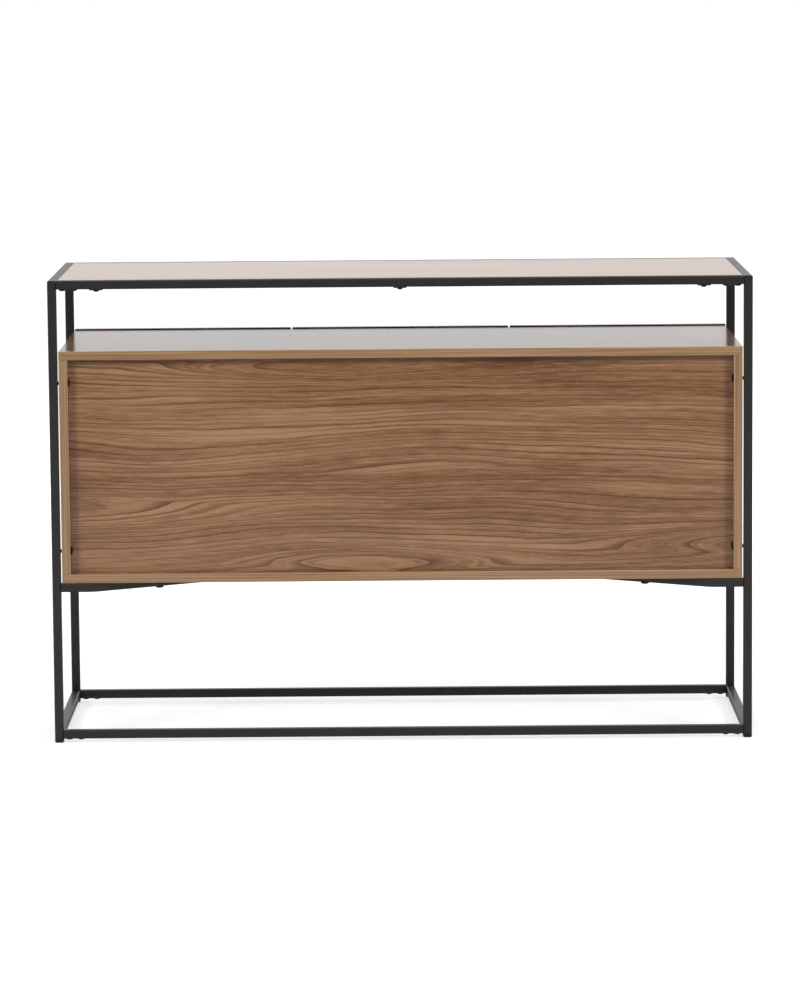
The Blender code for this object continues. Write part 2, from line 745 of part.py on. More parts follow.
def arm_shell(corner_x, inward, z, board_face, metal):
    """A hinge arm and its mounting plate on the inside of the board beside the door.

    The nose reaches into the cup just far enough from the door's front corner, its turning
    point, to leave the cup through its mouth as the door opens.
    """
    front = CABINET_FRONT - DOOR_FRONT
    nose = DOOR_THICKNESS - CUP_DEPTH + CUP_WALL + ARM_NOSE_CLEARANCE
    tail = nose + ARM_LENGTH
    near = ARM_NOSE_NEAR
    far = ARM_NOSE_FAR
    half = ARM_WIDTH / 2
    plate_face = board_face + SEAT_GAP
    plate_low = front + PLATE_SETBACK
    plate_high = plate_low + PLATE_LENGTH
    tip = (far - near) / 3
    outline = (
        (near, nose + tip, 0),
        (near + tip, nose, 0),
        (far - tip, nose, 0),
        (far, nose + tip, 0),
        (far, tail - tip, 0),
        (far - tip, tail, 0),
        (near, tail, 0),
    )
    arm = prism_shape(outline, (0, 0, -half), (0, 0, half))
    arm = make_object("arm", mapped(arm, corner_x, inward, z), metal)
    hollow_high = tail + tip
    hollow = box_shape(
        (near - tip, nose + 2 * tip, -half + ARM_WALL),
        (far - ARM_WALL, hollow_high, half - ARM_WALL),
    )
    boolean(arm, make_object("hollow", mapped(hollow, corner_x, inward, z), metal), "DIFFERENCE")

    block_half = half - ARM_WALL + WELD_DEPTH
    block = box_shape((plate_face, plate_low, -block_half), (far - 2 * ARM_WALL, plate_high, block_half))
    block = make_object("block", mapped(block, corner_x, inward, z), metal)
    wing = box_shape(
        (plate_face, plate_low + PLATE_WING, -PLATE_SPAN / 2),
        (plate_face + PLATE_THICKNESS, plate_low + 2 * PLATE_WING, PLATE_SPAN / 2),
        BOARD_ARRIS,
    )
    boolean(block, make_object("wing", mapped(wing, corner_x, inward, z), metal), "UNION")
    holes = []
    for side in (1, -1):
        up = side * (PLATE_SPAN / 2 - PLATE_WING / 2)
        back = plate_low + PLATE_WING * 1.5
        holes.append(rod_shape((board_face - BOARD, back, up), (far, back, up), TAB_HOLE))
    holes = mapped(merged(holes), corner_x, inward, z)
    boolean(block, make_object("holes", holes, metal), "DIFFERENCE")
    boolean(arm, block, "UNION")
    return arm


def add_doors(laminate, metal):
    """Three overlay doors on cup hinges; each turns on an upright axis at its front corner."""
    doors = (
        ("left", -CABINET_HALF, 1, BOARD),
        ("middle", -DOOR_WIDTH / 2, 1, (BOARD - DOOR_SEAM) / 2),
        ("right", CABINET_HALF, -1, BOARD),
    )
    for word, corner_x, inward, overlay in doors:
        axis = bpy.data.objects.new("door_axis_" + word, None)
        axis.location = (corner_x, DOOR_FRONT, DOOR_LOW)
        bpy.context.collection.objects.link(axis)
        far_x = corner_x + inward * DOOR_WIDTH
        low = (min(corner_x, far_x), DOOR_FRONT, DOOR_LOW)
        high = (max(corner_x, far_x), DOOR_BACK, DOOR_HIGH)
        bores = []
        for z in HINGE_ZS:
            centre_x = corner_x + inward * CUP_CENTRE
            floor_y = DOOR_BACK - CUP_DEPTH - SEAT_GAP
            bore = CUP_DIAMETER + 2 * SEAT_GAP
            rod = rod_shape((centre_x, floor_y, z), (centre_x, CABINET_FRONT, z), bore, CUP_SIDES)
            bores.append(rod)
        door = board("door_" + word, low, high, laminate, (merged(bores),))
        set_origin(door, (corner_x, DOOR_FRONT, DOOR_LOW), axis)
        for z, place in zip(HINGE_ZS, ("lower", "upper")):
            cup = cup_shell(corner_x, inward, z, metal)
            cup.name = "hinge_cup_" + word + "_" + place
            set_origin(cup, (corner_x, DOOR_FRONT, z), axis)
            round_shading(cup)
            arm = arm_shell(corner_x, inward, z, overlay, metal)
            arm.name = "hinge_arm_" + word + "_" + place
            set_origin(arm, (corner_x + inward * overlay, CABINET_FRONT, z))
            round_shading(arm)
        add_latch(word, far_x - inward * LATCH_INSET, laminate)


def add_latch(word, x, plastic):
    """A touch latch under the cabinet top: a bored body and the sprung plunger in it."""
    top = INSIDE_TOP - SEAT_GAP
    front = CABINET_FRONT
    low = (x - LATCH_WIDTH / 2, front, top - LATCH_HEIGHT)
    high = (x + LATCH_WIDTH / 2, front + LATCH_LENGTH, top)
    body = make_object("latch_body_" + word, box_shape(low, high, BOARD_ARRIS), plastic)
    ear_low = (x - LATCH_EAR_SPAN / 2, front + LATCH_EAR_SETBACK, top - LATCH_EAR_THICKNESS)
    ear_high = (x + LATCH_EAR_SPAN / 2, front + LATCH_EAR_SETBACK + LATCH_EAR_LENGTH, top)
    ears = box_shape(ear_low, ear_high, BOARD_ARRIS)
    boolean(body, make_object("ears", ears, plastic), "UNION")
    centre_z = top - LATCH_HEIGHT / 2
    bore_end = front + PLUNGER_LENGTH + PLUNGER_TRAVEL + SPRING_ROOM
    bore_start = (x, front - BOARD, centre_z)
    rods = [rod_shape(bore_start, (x, bore_end, centre_z), LATCH_BORE, FASTENER_SIDES)]
    for side in (1, -1):
        ear_x = x + side * (LATCH_WIDTH + LATCH_EAR_SPAN) / 4
        ear_y = front + LATCH_EAR_SETBACK + LATCH_EAR_LENGTH / 2
        ear_hole = (ear_x, ear_y, top - LATCH_HEIGHT)
        rods.append(rod_shape(ear_hole, (ear_x, ear_y, top + BOARD), LATCH_SCREW_HOLE))
    boolean(body, make_object("bore", merged(rods), plastic), "DIFFERENCE")
    set_origin(body, (x, front, top))
    round_shading(body)

    tip = DOOR_BACK + SEAT_GAP
    radius = PLUNGER_DIAMETER / 2
    easing = radius / 4
    profile = (
        (0, 0),
        (0, radius - easing),
        (easing, radius),
        (PLUNGER_LENGTH, radius),
        (PLUNGER_LENGTH, 0),
    )
    shape = turned_shape(profile, FASTENER_SIDES, (x, tip, centre_z), (0, 1, 0))
    plunger = make_object("latch_plunger_" + word, shape, plastic)
    set_origin(plunger, (x, tip, centre_z))
    round_shading(plunger)


def add_fasteners(steel):
    """Bolts from the cabinet into the back legs, and screws up through the cradles."""
    for side, word in ((-1, "left"), (1, "right")):
        reach = BOARD + CABINET_SIDE_GAP + TUBE_WALL + BOLT_GRIP / 2
        for z, place in zip(BOLT_ZS, ("lower", "upper")):
            face = (side * INSIDE_HALF, BOLT_Y, z)
            name = "side_bolt_" + word + "_" + place
            add_fastener(name, face, (side, 0, 0), BOLT_HEAD, BOLT_HEAD_HEIGHT, reach, steel)
        for (x, y), place in zip(cradle_screw_places(side), ("back", "front")):
            face = (x, y, CRADLE_TOP - TUBE)
            length = TUBE + CRADLE_SCREW_GRIP
            name = "cradle_screw_" + word + "_" + place
            head = CRADLE_SCREW_HEAD
            add_fastener(name, face, (0, 0, 1), head, CRADLE_SCREW_HEAD_HEIGHT, length, steel)


def add_frame(steel, plastic):
    """Two welded end frames, the four long rails between them and the feet."""
    for side, word in ((-1, "left"), (1, "right")):
        for end, place in ((-1, "front"), (1, "back")):
            add_leg("leg_" + place + "_" + word, side, end, steel)
            add_foot("foot_" + place + "_" + word, side, end, plastic)
        add_side_rails(word, side, steel)
        add_cradle(word, side, steel)
    for end, place in ((-1, "front"), (1, "back")):
        add_long_rail("top_long_rail_" + place, end, TOP_RAIL_Z, True, steel)
        add_long_rail("base_long_rail_" + place, end, BASE_RAIL_Z, False, steel)


def add_top_panel(wood):
    """The walnut top, let in flush between the four top rails."""
    half_x = LEG_FACE_X - TOP_END_GAP
    half_y = HALF_DEPTH - TUBE - TOP_SIDE_GAP
    low = (-half_x, -half_y, FRAME_TOP - TUBE)
    high = (half_x, half_y, FRAME_TOP)
    panel = board("top_panel", low, high, wood)
    set_origin(panel, (0, 0, FRAME_TOP))


for old in list(bpy.data.objects):
    bpy.data.objects.remove(old)

powder_coat = make_material("black_powder_coated_steel", (0.030, 0.028, 0.026), 0.55, 0.0)
glide_plastic = make_material("black_plastic", (0.015, 0.015, 0.015), 0.5, 0.0)
walnut = make_material("walnut_laminate", (0.25, 0.14, 0.08), 0.45, 0.0)
black_laminate = make_material("black_laminate", (0.02, 0.02, 0.02), 0.45, 0.0)
nickel = make_material("nickel_plated_steel", (0.62, 0.60, 0.57), 0.3, 1.0)
zinc_black = make_material("black_zinc_steel", (0.02, 0.02, 0.02), 0.4, 0.6)

add_frame(powder_coat, glide_plastic)
add_top_panel(walnut)
add_cabinet(walnut, nickel)
add_doors(black_laminate, nickel)
add_fasteners(zinc_black)
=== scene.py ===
# A walnut sideboard with three doors, hung in a frame of black square tube, seen from its back.
# Metres, +Z up, the doors face -Y. Left and right are seen from the front.

import math

import bpy
from mathutils import Matrix, Vector


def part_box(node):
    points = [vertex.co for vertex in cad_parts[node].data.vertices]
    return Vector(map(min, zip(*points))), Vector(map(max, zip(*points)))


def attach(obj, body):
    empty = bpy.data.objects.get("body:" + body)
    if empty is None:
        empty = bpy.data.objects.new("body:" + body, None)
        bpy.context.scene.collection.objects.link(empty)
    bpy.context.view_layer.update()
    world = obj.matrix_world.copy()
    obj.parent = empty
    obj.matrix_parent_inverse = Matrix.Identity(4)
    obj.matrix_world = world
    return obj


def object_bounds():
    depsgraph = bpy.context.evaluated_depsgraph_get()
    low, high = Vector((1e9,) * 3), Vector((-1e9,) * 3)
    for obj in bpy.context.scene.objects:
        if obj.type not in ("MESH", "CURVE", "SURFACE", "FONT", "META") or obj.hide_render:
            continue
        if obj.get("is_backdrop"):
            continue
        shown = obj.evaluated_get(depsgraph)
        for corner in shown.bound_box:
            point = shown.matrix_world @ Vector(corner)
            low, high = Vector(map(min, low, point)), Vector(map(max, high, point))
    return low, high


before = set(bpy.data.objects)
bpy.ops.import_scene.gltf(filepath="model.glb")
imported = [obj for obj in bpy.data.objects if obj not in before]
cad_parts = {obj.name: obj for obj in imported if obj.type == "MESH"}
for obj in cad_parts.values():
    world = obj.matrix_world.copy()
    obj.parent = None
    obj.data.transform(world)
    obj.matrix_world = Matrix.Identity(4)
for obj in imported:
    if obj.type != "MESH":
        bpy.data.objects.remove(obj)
cad_box = [list(corner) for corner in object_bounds()]
scene = bpy.context.scene


# Studio floor and light.
# A pale matt floor under an overhead softbox, with two softboxes behind the sideboard and two before
# it. The camera sees world and floor as white. In gloss the floor is dimmer, and the world darkens
# towards the camera's side.

AMBIENT_LIGHT = 0.13
GLOSS_TOWARDS_DOORS = 0.88
GLOSS_TOWARDS_CAMERA = 0.03
GLOSS_TURN = 0.8

FLOOR_REACH = 30.0
GLOW_AT_FEET = 0.62
GLOW_FEET_REACH = 1.0
GLOW_FULL_REACH = 3.2
GLOW_IN_GLOSS = 0.16


def srgb(text):
    """A hex sRGB colour as linear red, green, blue and alpha."""
    channels = []
    for start in (1, 3, 5):
        value = int(text[start:start + 2], 16) / 255
        channels.append(value / 12.92 if value <= 0.04045 else ((value + 0.055) / 1.055) ** 2.4)
    return (*channels, 1.0)


def add(tree, kind, sockets=(), **settings):
    """Add a node, make its settings and fill its sockets: a dict by name or number, a list in the
    order in which the node shows them. A node given as a value stands for its first shown output."""
    made = tree.nodes.new(kind)
    for name, value in settings.items():
        setattr(made, name, value)
    if isinstance(sockets, dict):
        pairs = [(made.inputs[name], value) for name, value in sockets.items()]
    else:
        pairs = zip([socket for socket in made.inputs if socket.enabled], sockets)
    for socket, value in pairs:
        if isinstance(value, bpy.types.Node):
            value = next(output for output in value.outputs if output.enabled)
        if isinstance(value, bpy.types.NodeSocket):
            tree.links.new(value, socket)
        else:
            socket.default_value = value
    return made


def blank_material(name):
    """A material with an empty node tree."""
    material = bpy.data.materials.new(name)
    material.use_nodes = True
    material.node_tree.nodes.clear()
    return material, material.node_tree


def seen_directly(tree):
    """1 for rays from the camera, from gloss or through glass, 0 for the light that falls on things."""
    ray = add(tree, "ShaderNodeLightPath").outputs
    seen = add(tree, "ShaderNodeMath", [ray["Is Camera Ray"], ray["Is Glossy Ray"]], operation="MAXIMUM")
    return add(tree, "ShaderNodeMath", [seen, ray["Is Transmission Ray"]], operation="MAXIMUM")


world = bpy.data.worlds.new("white_studio")
scene.world = world
world.use_nodes = True
tree = world.node_tree
tree.nodes.clear()
ambient = add(tree, "ShaderNodeBackground", {"Color": srgb("#F4F4F6"), "Strength": AMBIENT_LIGHT})
direction = add(tree, "ShaderNodeTexCoord").outputs["Generated"]
direction = add(tree, "ShaderNodeSeparateXYZ", [direction]).outputs
brightness = add(
    tree, "ShaderNodeMapRange",
    [direction["Y"], 0.0, GLOSS_TURN, GLOSS_TOWARDS_DOORS, GLOSS_TOWARDS_CAMERA],
    interpolation_type="SMOOTHSTEP",
)
ray = add(tree, "ShaderNodeLightPath").outputs
brightness = add(tree, "ShaderNodeMath", [brightness, ray["Is Camera Ray"]], operation="MAXIMUM")
backdrop = add(tree, "ShaderNodeBackground", {"Color": srgb("#FFFFFF"), "Strength": brightness})
seen = add(tree, "ShaderNodeMixShader", [seen_directly(tree), ambient, backdrop])
add(tree, "ShaderNodeOutputWorld", {"Surface": seen})

floor_mesh = bpy.data.meshes.new("studio_floor")
corners = [(x * FLOOR_REACH, y * FLOOR_REACH, 0) for x, y in ((-1, -1), (1, -1), (1, 1), (-1, 1))]
floor_mesh.from_pydata(corners, [], [(0, 1, 2, 3)])
floor = bpy.data.objects.new("studio_floor", floor_mesh)
scene.collection.objects.link(floor)

# The floor's paint takes the light and the shadow, and its glow lifts what is seen of it to white.
# The glow is weaker round the feet, where it leaves the shadow on the floor.
floor_paint, tree = blank_material("pale_matt_floor")
paint = add(tree, "ShaderNodeBsdfDiffuse", {"Color": srgb("#C4C4C6")})
place = add(tree, "ShaderNodeTexCoord").outputs["Object"]
away = add(tree, "ShaderNodeVectorMath", [place], operation="LENGTH")
fade = add(
    tree, "ShaderNodeMapRange", [away, GLOW_FEET_REACH, GLOW_FULL_REACH, GLOW_AT_FEET, 1.0],
    interpolation_type="SMOOTHSTEP",
)
glow = add(tree, "ShaderNodeEmission", {"Color": srgb("#FFFFFF"), "Strength": fade})
nothing = add(tree, "ShaderNodeEmission", {"Strength": 0.0})
ray = add(tree, "ShaderNodeLightPath").outputs
dimmed = add(tree, "ShaderNodeMapRange", [ray["Is Glossy Ray"], 0.0, 1.0, 1.0, GLOW_IN_GLOSS])
share = add(tree, "ShaderNodeMath", [seen_directly(tree), dimmed], operation="MULTIPLY")
lift = add(tree, "ShaderNodeMixShader", [share, nothing, glow])
both = add(tree, "ShaderNodeAddShader", [paint, lift])
add(tree, "ShaderNodeOutputMaterial", {"Surface": both})
floor_mesh.materials.append(floor_paint)
floor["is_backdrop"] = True

for name, place, aim, size, power in (
    ("overhead_softbox", (0.0, 0.2, 3.4), (0.0, 0.0, 0.4), 2.4, 70.0),
    ("camera_softbox_left", (3.4, 4.2, 2.9), (0.0, 0.0, 0.5), 1.3, 150.0),
    ("camera_softbox_right", (-3.4, 4.2, 2.9), (0.0, 0.0, 0.5), 1.3, 150.0),
    ("front_softbox_left", (-2.6, -4.2, 2.6), (0.0, 0.0, 0.4), 2.0, 80.0),
    ("front_softbox_right", (2.6, -4.2, 2.6), (0.0, 0.0, 0.4), 2.0, 80.0),
):
    light = bpy.data.lights.new(name, "AREA")
    light.shape = "SQUARE"
    light.size = size
    light.energy = power
    lamp = bpy.data.objects.new(name, light)
    lamp.location = place
    lamp.rotation_euler = (Vector(aim) - Vector(place)).to_track_quat("-Z", "Y").to_euler()
    scene.collection.objects.link(lamp)
    lamp.visible_camera = False
    lamp.visible_glossy = False

scene.view_settings.view_transform = "Standard"


# Camera.
# A long lens 7.8 m behind the sideboard, 0.6 m above its top and tipped down, as the picture was
# taken. The focal length, the place and the small turns come from fitting the frame's edges.

FOCAL_PIXELS = 4467
IMAGE_HEIGHT = 1000
SENSOR = 36.0
CAMERA_PLACE = Vector((0.0, 7.7857, 1.3891))
CAMERA_DOWN = math.radians(7.312)
CAMERA_ROLL = math.radians(0.461)
CAMERA_YAW = math.radians(0.021)

camera_data = bpy.data.cameras.new("camera")
camera_data.sensor_width = SENSOR
camera_data.lens = FOCAL_PIXELS * SENSOR / IMAGE_HEIGHT
camera = bpy.data.objects.new("camera", camera_data)
scene.collection.objects.link(camera)
turn = Matrix.Rotation(math.pi + CAMERA_YAW, 4, "Z") @ Matrix.Rotation(math.pi / 2 - CAMERA_DOWN, 4, "X")
camera.matrix_world = Matrix.Translation(CAMERA_PLACE) @ turn @ Matrix.Rotation(-CAMERA_ROLL, 4, "Z")
scene.camera = camera


# Steel frame.
# 15 mm square steel tube, welded up into two ends with their cradles and joined by four long rails,
# and powder coated black in one colour after welding.

PEEL_PER_METRE = 480.0
COAT_CLOUDS_PER_METRE = 14.0


def dress(names, material):
    """Give CAD nodes a material."""
    for name in names:
        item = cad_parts[name]
        item.data.materials.clear()
        item.data.materials.append(material)


def powder_coat():
    """Black polyester powder coat, sprayed on dry and baked until it flows. The eye sees charcoal, not
    pure black, with a soft sheen that an orange peel of about 2 mm breaks up."""
    material, tree = blank_material("black_powder_coated_steel")
    place = add(tree, "ShaderNodeTexCoord").outputs["Object"]
    peel = add(tree, "ShaderNodeTexNoise", {"Vector": place, "Scale": PEEL_PER_METRE, "Detail": 2.0})
    cloud = add(tree, "ShaderNodeTexNoise", {
        "Vector": place,
        "Scale": COAT_CLOUDS_PER_METRE,
        "Detail": 3.0,
    })
    colour = add(tree, "ShaderNodeMix", [cloud, srgb("#1E1C1B"), srgb("#272422")], data_type="RGBA")
    rough = add(tree, "ShaderNodeMapRange", [cloud, 0.0, 1.0, 0.46, 0.56])
    bump = add(tree, "ShaderNodeBump", {"Height": peel, "Strength": 0.25, "Distance": 0.0001})
    shader = add(tree, "ShaderNodeBsdfPrincipled", {
        "Base Color": colour,
        "Roughness": rough,
        "IOR": 1.45,
        "Coat Weight": 0.3,
        "Coat Roughness": 0.2,
        "Coat IOR": 1.5,
        "Normal": bump,
    })
    add(tree, "ShaderNodeOutputMaterial", {"Surface": shader})
    return material


frame_nodes = []
for side in ("left", "right"):
    frame_nodes += ["leg_front_" + side, "leg_back_" + side]
    frame_nodes += ["top_side_rail_" + side, "base_side_rail_" + side, "cradle_" + side]
for end in ("front", "back"):
    frame_nodes += ["top_long_rail_" + end, "base_long_rail_" + end]
dress(frame_nodes, powder_coat())


# Glides.
# One black polyethylene foot under each leg, injection moulded, 7 mm high. A square plug on it is
# pressed into the open end of the tube and holds it there.

GRAIN_PER_METRE = 1400.0
PLASTIC_CLOUDS_PER_METRE = 60.0


def moulded_plastic(name, dark, pale, roughness):
    """Plastic moulded in a spark-eroded tool. The eye sees an even colour under a fine matt grain. The
    real grain is about 0.1 mm and is drawn at 0.7 mm, so that it shows."""
    material, tree = blank_material(name)
    place = add(tree, "ShaderNodeTexCoord").outputs["Object"]
    grain = add(tree, "ShaderNodeTexNoise", {"Vector": place, "Scale": GRAIN_PER_METRE, "Detail": 2.0})
    cloud = add(tree, "ShaderNodeTexNoise", {
        "Vector": place,
        "Scale": PLASTIC_CLOUDS_PER_METRE,
        "Detail": 2.0,
    })
    colour = add(tree, "ShaderNodeMix", [cloud, srgb(dark), srgb(pale)], data_type="RGBA")
    bump = add(tree, "ShaderNodeBump", {"Height": grain, "Strength": 0.3, "Distance": 0.0001})
    shader = add(tree, "ShaderNodeBsdfPrincipled", {
        "Base Color": colour,
        "Roughness": roughness,
        "IOR": 1.5,
        "Normal": bump,
    })
    add(tree, "ShaderNodeOutputMaterial", {"Surface": shader})
    return material


glide_plastic = moulded_plastic("black_polyethylene", "#161616", "#202020", 0.55)
dress(["foot_" + end + "_" + side for end in ("front", "back") for side in ("left", "right")], glide_plastic)


# Frame screws.
# Black zinc-plated steel: two socket screws up into the spigot at each end of each long rail, and
# cross-head screws up through the top rails' tabs into the top panel. The bolts through the
# cabinet's sides and the screws through the cradles have the same finish.

# Insets are from the frame's outer side. A cross's bars are as long as the drive is wide, and their
# width is a share of its radius. The metal's marks are counted per metre along X, Y and Z.
RAIL_SCREW_INSETS = (0.025, 0.045)
TAB_INSET = 0.082
CROSS_BAR_SHARE = 0.42
HEAD_STEPS = 7
HEAD_SIDES = 28
SHARP_EDGE = math.radians(35)
METAL_MARKS = (40.0, 40.0, 900.0)
MARK_SHADE = 0.92
MARK_ROUGHNESS = 0.06


def screw_head_tree():
    """A turned head with a hexagon or a cross sunk in it, set at every point along its facing. Dome is
    how far up a quarter round the head's side climbs: at 1 it would close over the top."""
    tree = bpy.data.node_groups.new("screw_heads", "GeometryNodeTree")
    tree.interface.new_socket("Geometry", in_out="INPUT", socket_type="NodeSocketGeometry")
    for name, kind in (
        ("Head Radius", "Float"), ("Head Height", "Float"), ("Dome", "Float"), ("Drive Radius", "Float"),
        ("Drive Depth", "Float"), ("Cross", "Bool"), ("Seed", "Int"), ("Finish", "Material"),
    ):
        tree.interface.new_socket(name, in_out="INPUT", socket_type="NodeSocket" + kind)
    tree.interface.new_socket("Geometry", in_out="OUTPUT", socket_type="NodeSocketGeometry")
    given = add(tree, "NodeGroupInput").outputs

    # The blank: a circle swept up the screw's axis and drawn in along a round.
    top = add(tree, "ShaderNodeCombineXYZ", {"Z": given["Head Height"]})
    axis = add(tree, "GeometryNodeCurvePrimitiveLine", {"Start": (0, 0, 0), "End": top})
    axis = add(tree, "GeometryNodeResampleCurve", {"Curve": axis, "Count": HEAD_STEPS})
    climbed = add(tree, "GeometryNodeSplineParameter").outputs["Factor"]
    rise = add(tree, "ShaderNodeMath", [climbed, given["Dome"]], operation="MULTIPLY")
    squared = add(tree, "ShaderNodeMath", [rise, rise], operation="MULTIPLY")
    girth = add(tree, "ShaderNodeMath", [1.0, squared], operation="SUBTRACT")
    girth = add(tree, "ShaderNodeMath", [girth], operation="SQRT")
    circle = add(tree, "GeometryNodeCurvePrimitiveCircle", {
        "Resolution": HEAD_SIDES,
        "Radius": given["Head Radius"],
    })
    blank = add(tree, "GeometryNodeCurveToMesh", {
        "Curve": axis,
        "Profile Curve": circle,
        "Scale": girth,
        "Fill Caps": True,
    })

    # The drive: a hexagon, or two bars that cross, centred on the top so that half of it is sunk.
    depth = add(tree, "ShaderNodeMath", [given["Drive Depth"], 2.0], operation="MULTIPLY")
    hexagon = add(tree, "GeometryNodeMeshCylinder", {
        "Vertices": 6,
        "Radius": given["Drive Radius"],
        "Depth": depth,
    })
    long = add(tree, "ShaderNodeMath", [given["Drive Radius"], 2.0], operation="MULTIPLY")
    wide = add(tree, "ShaderNodeMath", [given["Drive Radius"], CROSS_BAR_SHARE], operation="MULTIPLY")
    size = add(tree, "ShaderNodeCombineXYZ", [long, wide, depth])
    one = add(tree, "GeometryNodeMeshCube", {"Size": size})
    size = add(tree, "ShaderNodeCombineXYZ", [wide, long, depth])
    other = add(tree, "GeometryNodeMeshCube", {"Size": size})
    cross = add(tree, "GeometryNodeMeshBoolean", {"Mesh 2": one}, operation="UNION")
    tree.links.new(other.outputs["Mesh"], cross.inputs["Mesh 2"])
    drive = add(tree, "GeometryNodeSwitch", {
        "Switch": given["Cross"],
        "False": hexagon,
        "True": cross,
    }, input_type="GEOMETRY")
    sunk = add(tree, "GeometryNodeTransform", {"Geometry": drive, "Translation": top})
    head = add(tree, "GeometryNodeMeshBoolean", {"Mesh 1": blank, "Mesh 2": sunk}, operation="DIFFERENCE")

    # Each head looks the way its point faces, and is turned at random about its axis. Random Value
    # names its three pairs alike, and sockets 2 and 3 are the pair of plain numbers.
    facing = add(tree, "GeometryNodeInputNamedAttribute", {"Name": "facing"}, data_type="FLOAT_VECTOR")
    aimed = add(tree, "FunctionNodeAlignRotationToVector", {"Vector": facing}, axis="Z")
    spin = add(tree, "FunctionNodeRandomValue", {
        2: 0.0,
        3: math.tau,
        "Seed": given["Seed"],
    }, data_type="FLOAT")
    about = add(tree, "FunctionNodeAxisAngleToRotation", {"Axis": (0, 0, 1), "Angle": spin})
    placed = add(tree, "FunctionNodeRotateRotation", {
        "Rotation": aimed,
        "Rotate By": about,
    }, rotation_space="LOCAL")
    heads = add(tree, "GeometryNodeInstanceOnPoints", {
        "Points": given["Geometry"],
        "Instance": head,
        "Rotation": placed,
    })
    solid = add(tree, "GeometryNodeRealizeInstances", {"Geometry": heads})
    smooth = add(tree, "GeometryNodeSetShadeSmooth", {"Geometry": solid})
    finished = add(tree, "GeometryNodeSetMaterial", {"Geometry": smooth, "Material": given["Finish"]})
    add(tree, "NodeGroupOutput", [finished])
    return tree


def grown(name, points, facing, tree, sizes):
    """Run a node tree on points that each face some way, and keep the result as a plain mesh."""
    mesh = bpy.data.meshes.new(name)
    mesh.from_pydata(points, [], [])
    stored = mesh.attributes.new("facing", "FLOAT_VECTOR", "POINT")
    for item, vector in zip(stored.data, facing):
        item.vector = vector
    piece = bpy.data.objects.new(name, mesh)
    scene.collection.objects.link(piece)
    modifier = piece.modifiers.new("grown", "NODES")
    modifier.node_group = tree
    for socket in tree.interface.items_tree:
        if socket.name in sizes:
            modifier[socket.identifier] = sizes[socket.name]
    result = bpy.data.meshes.new_from_object(piece.evaluated_get(bpy.context.evaluated_depsgraph_get()))
    result.set_sharp_from_angle(angle=SHARP_EDGE)
    piece.modifiers.remove(modifier)
    piece.data = result
    return piece


def satin_metal(name, colour, roughness):
    """Steel with a thin plating, or zinc as it leaves the die. The eye sees a satin metal with faint
    level marks, 1.1 mm apart and 25 mm long, where the shade and the gloss change a little."""
    material, tree = blank_material(name)
    place = add(tree, "ShaderNodeTexCoord").outputs["Object"]
    place = add(tree, "ShaderNodeMapping", {"Vector": place, "Scale": METAL_MARKS})
    marks = add(tree, "ShaderNodeTexNoise", {"Vector": place, "Scale": 1.0, "Detail": 2.0})
    red, green, blue, alpha = srgb(colour)
    pale = (red, green, blue, alpha)
    dark = (MARK_SHADE * red, MARK_SHADE * green, MARK_SHADE * blue, alpha)
    mixed = add(tree, "ShaderNodeMix", [marks, dark, pale], data_type="RGBA")
    smoothest = roughness - MARK_ROUGHNESS
    roughest = roughness + MARK_ROUGHNESS
    rough = add(tree, "ShaderNodeMapRange", [marks, 0.0, 1.0, smoothest, roughest])
    shader = add(tree, "ShaderNodeBsdfPrincipled", {
        "Base Color": mixed,
        "Roughness": rough,
        "Metallic": 1.0,
    })
    add(tree, "ShaderNodeOutputMaterial", {"Surface": shader})
    return material


screw_heads = screw_head_tree()
black_zinc = satin_metal("black_zinc_plated_steel", "#2A2A2B", 0.40)
SOCKET_SCREW = {
    "Head Radius": 0.006, "Head Height": 0.003, "Dome": 0.85,
    "Drive Radius": 0.0022, "Drive Depth": 0.0016, "Cross": False,
    "Seed": 3, "Finish": black_zinc,
}
LOW_SOCKET_SCREW = {**SOCKET_SCREW, "Head Height": 0.002}
TAB_SCREW = {
    "Head Radius": 0.0052, "Head Height": 0.0035, "Dome": 0.75,
    "Drive Radius": 0.003, "Drive Depth": 0.0012, "Cross": True,
    "Seed": 5, "Finish": black_zinc,
}

leg_low, leg_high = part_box("leg_back_right")
tab_low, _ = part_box("top_long_rail_back")
top_rail_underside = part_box("top_side_rail_right")[0].z
base_rail_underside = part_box("base_side_rail_right")[0].z
rail_line = (leg_low.y + leg_high.y) / 2
rail_places = sorted(way * (leg_high.x - inset) for way in (-1, 1) for inset in RAIL_SCREW_INSETS)
rail_spots = [(x, y) for x in rail_places for y in (-rail_line, rail_line)]
top_points = [(x, y, top_rail_underside) for x, y in rail_spots]
base_points = [(x, y, base_rail_underside) for x, y in rail_spots]
tab_place = leg_high.x - TAB_INSET
tab_line = (tab_low.y + leg_low.y) / 2
tab_points = [(x, y, tab_low.z) for x in (-tab_place, 0.0, tab_place) for y in (-tab_line, tab_line)]

for name, points, sizes in (
    ("top_rail_screws", top_points, SOCKET_SCREW),
    ("base_rail_screws", base_points, LOW_SOCKET_SCREW),
    ("tab_screws", tab_points, TAB_SCREW),
):
    screws = grown(name, points, [(0, 0, -1)] * len(points), screw_heads, sizes)
    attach(screws, "carcass")

for side in ("left", "right"):
    dress(["side_bolt_" + side + "_lower", "side_bolt_" + side + "_upper"], black_zinc)
    dress(["cradle_screw_" + side + "_front", "cradle_screw_" + side + "_back"], black_zinc)


# Walnut boards.
# Particle board of 15 mm, and fibreboard of 3 mm for the back, under walnut-printed paper and a clear
# satin overlay. Glued band closes the edges. The grain runs along the boards and up the uprights.

